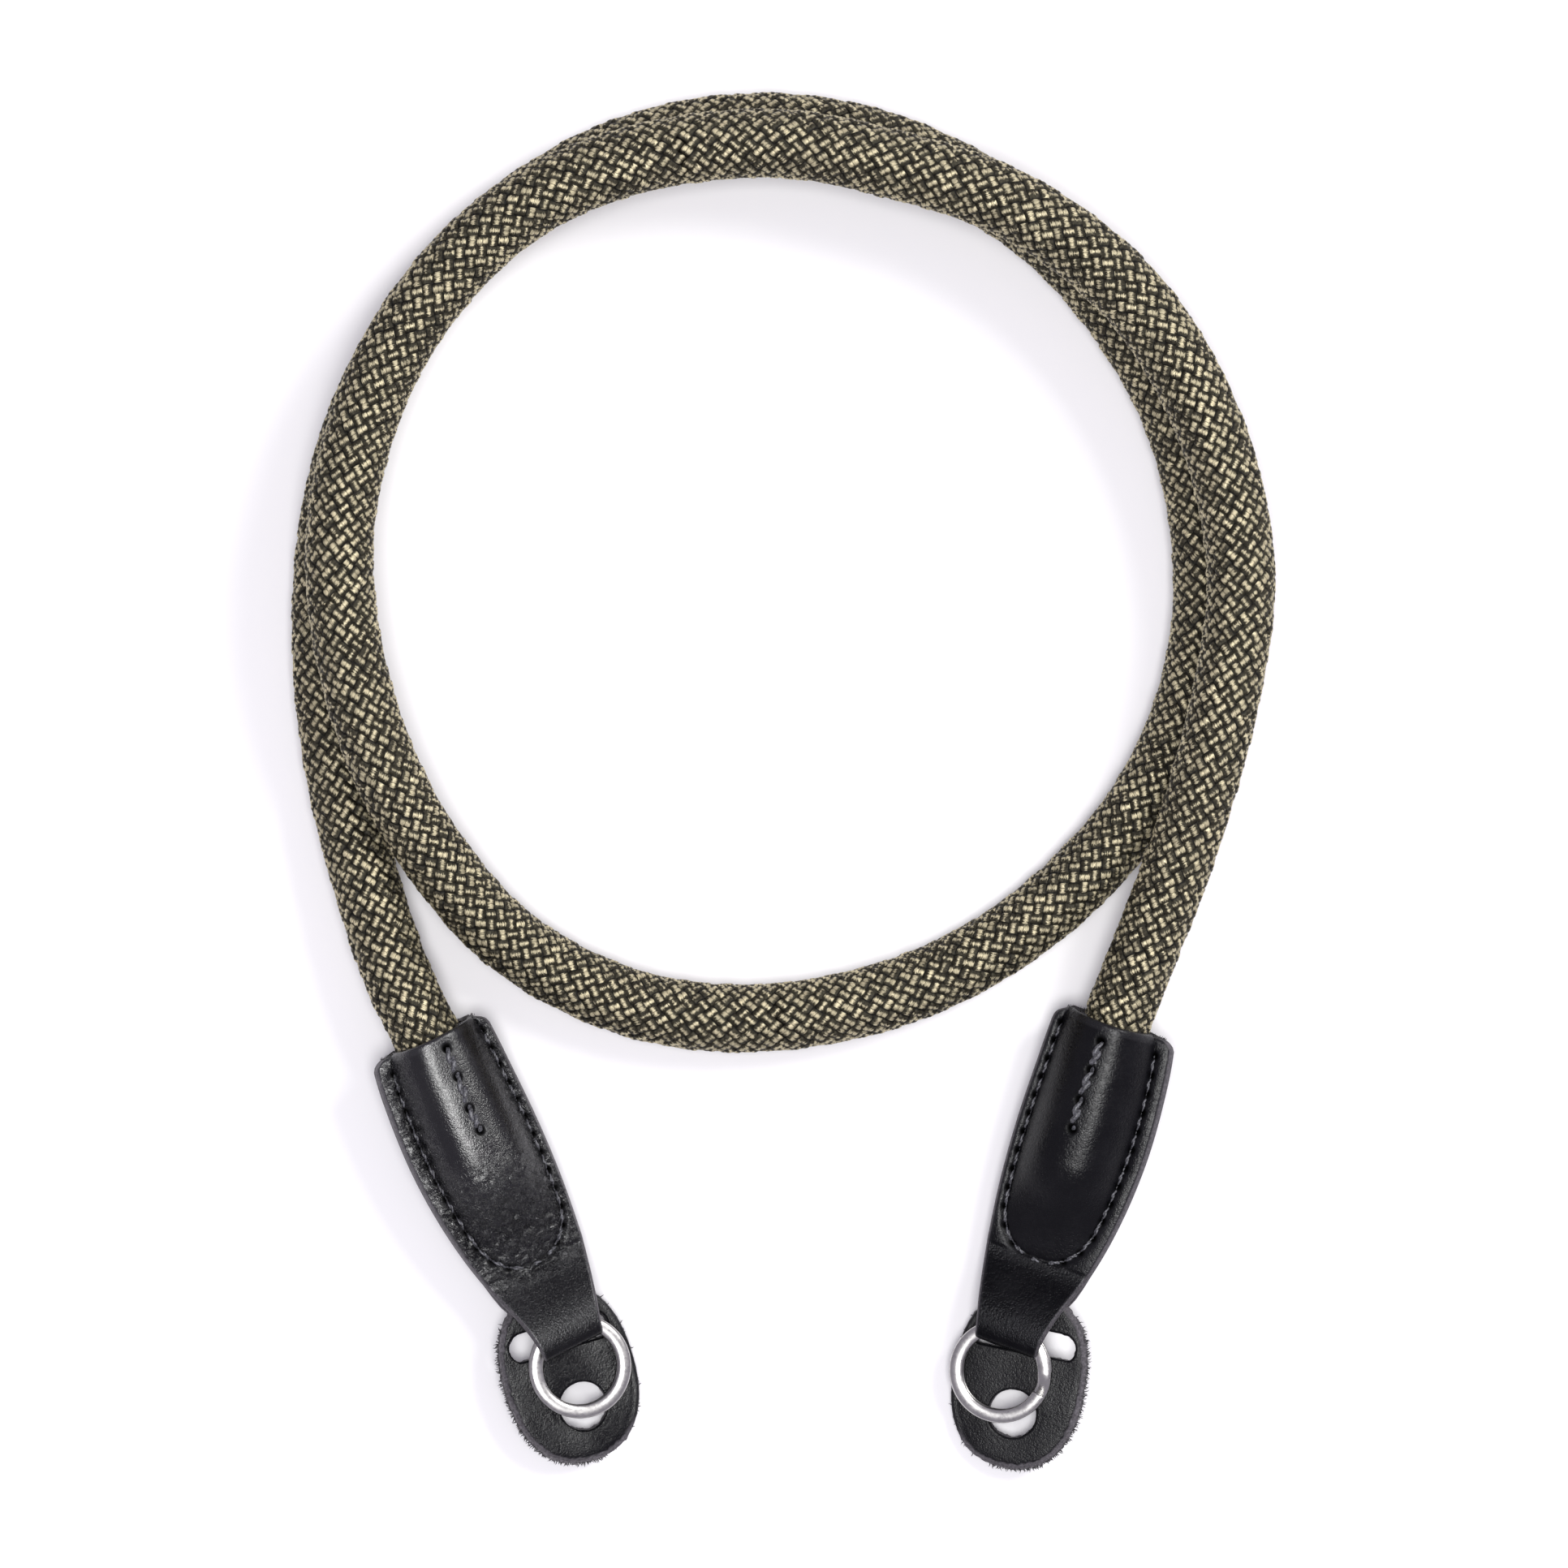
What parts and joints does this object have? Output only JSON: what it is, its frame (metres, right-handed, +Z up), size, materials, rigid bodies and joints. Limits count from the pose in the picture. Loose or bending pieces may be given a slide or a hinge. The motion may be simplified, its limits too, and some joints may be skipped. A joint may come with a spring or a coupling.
{
  "type": "camera neck strap",
  "caption": "Braided rope neck strap lying in a loose coil, with a sewn leather tab, a split ring and an oval leather ring pad at each end.",
  "frame": {"origin": "on the floor, midway between the two leather ends", "axes": "+Z up from the surface it lies on, +Y from the leather ends to the coil of rope, +X to the right as seen from above"},
  "size_m": [0.1581, 0.2227, 0.0225],
  "materials": {
    "braided_rope": "matte",
    "black_leather": "satin",
    "steel": "satin"
  },
  "bodies": {
    "root": {"rope": "braided_rope", "end_tab_left": "black_leather", "end_tab_right": "black_leather", "ring_pad_left": "black_leather", "ring_pad_right": "black_leather", "split_ring_left": "steel", "split_ring_right": "steel"}
  },
  "joints": []
}
